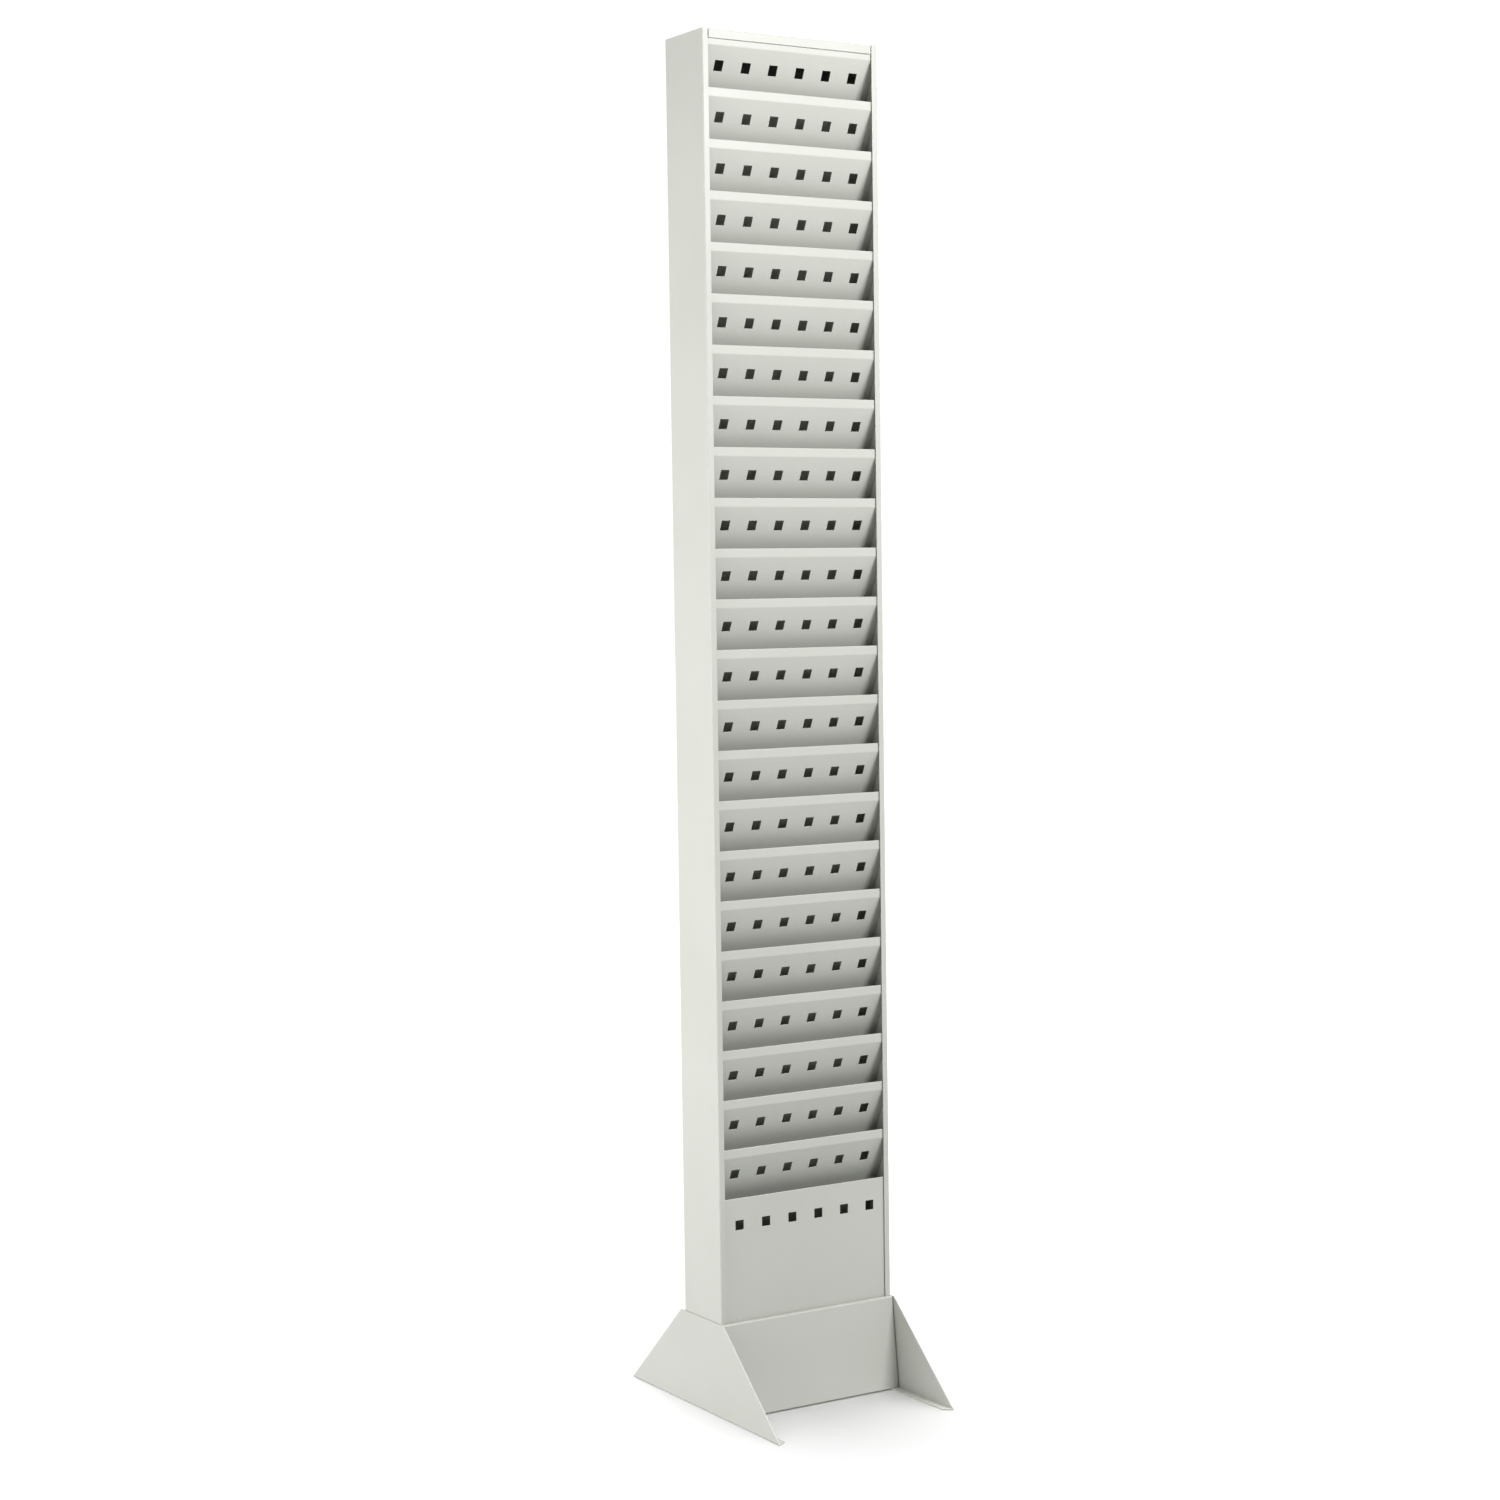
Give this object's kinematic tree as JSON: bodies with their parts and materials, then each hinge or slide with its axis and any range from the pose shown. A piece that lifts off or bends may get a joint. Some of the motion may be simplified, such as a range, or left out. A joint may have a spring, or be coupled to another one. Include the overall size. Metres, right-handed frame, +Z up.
{
  "type": "newspaper rack",
  "caption": "Tall, narrow sheet-steel newspaper and magazine tower with sloping pockets one above another, standing in a splayed floor base.",
  "frame": {"origin": "on the floor, below the middle of the whole rack", "axes": "+Z up, the open front faces -Y, +X to the right seen from the front"},
  "size_m": [0.2576, 0.3596, 1.7016],
  "materials": {
    "body_powder_coat": "satin light warm grey powder coat, fine orange peel",
    "pocket_powder_coat": "satin light warm grey powder coat, fine orange peel",
    "base_powder_coat": "satin light warm grey powder coat, fine orange peel",
    "zinc_plate": "bright zinc plate"
  },
  "bodies": {
    "root": {"left_side_panel": "body_powder_coat", "right_side_panel": "body_powder_coat", "back_panel": "body_powder_coat", "top_panel": "body_powder_coat", "bottom_panel": "body_powder_coat", "bottom_front_panel": "body_powder_coat", "pocket_plate_01": "pocket_powder_coat", "pocket_plate_02": "pocket_powder_coat", "pocket_plate_03": "pocket_powder_coat", "pocket_plate_04": "pocket_powder_coat", "pocket_plate_05": "pocket_powder_coat", "pocket_plate_06": "pocket_powder_coat", "pocket_plate_07": "pocket_powder_coat", "pocket_plate_08": "pocket_powder_coat", "pocket_plate_09": "pocket_powder_coat", "pocket_plate_10": "pocket_powder_coat", "pocket_plate_11": "pocket_powder_coat", "pocket_plate_12": "pocket_powder_coat", "pocket_plate_13": "pocket_powder_coat", "pocket_plate_14": "pocket_powder_coat", "pocket_plate_15": "pocket_powder_coat", "pocket_plate_16": "pocket_powder_coat", "pocket_plate_17": "pocket_powder_coat", "pocket_plate_18": "pocket_powder_coat", "pocket_plate_19": "pocket_powder_coat", "pocket_plate_20": "pocket_powder_coat", "pocket_plate_21": "pocket_powder_coat", "pocket_plate_22": "pocket_powder_coat", "pocket_plate_23": "pocket_powder_coat", "left_foot": "base_powder_coat", "right_foot": "base_powder_coat", "base_front_plate": "base_powder_coat", "base_rear_plate": "base_powder_coat", "base_shelf": "base_powder_coat", "body_screw_left_front": "zinc_plate", "weld_nut_left_front": "zinc_plate", "body_screw_left_rear": "zinc_plate", "weld_nut_left_rear": "zinc_plate", "body_screw_right_front": "zinc_plate", "weld_nut_right_front": "zinc_plate", "body_screw_right_rear": "zinc_plate", "weld_nut_right_rear": "zinc_plate"}
  },
  "joints": []
}
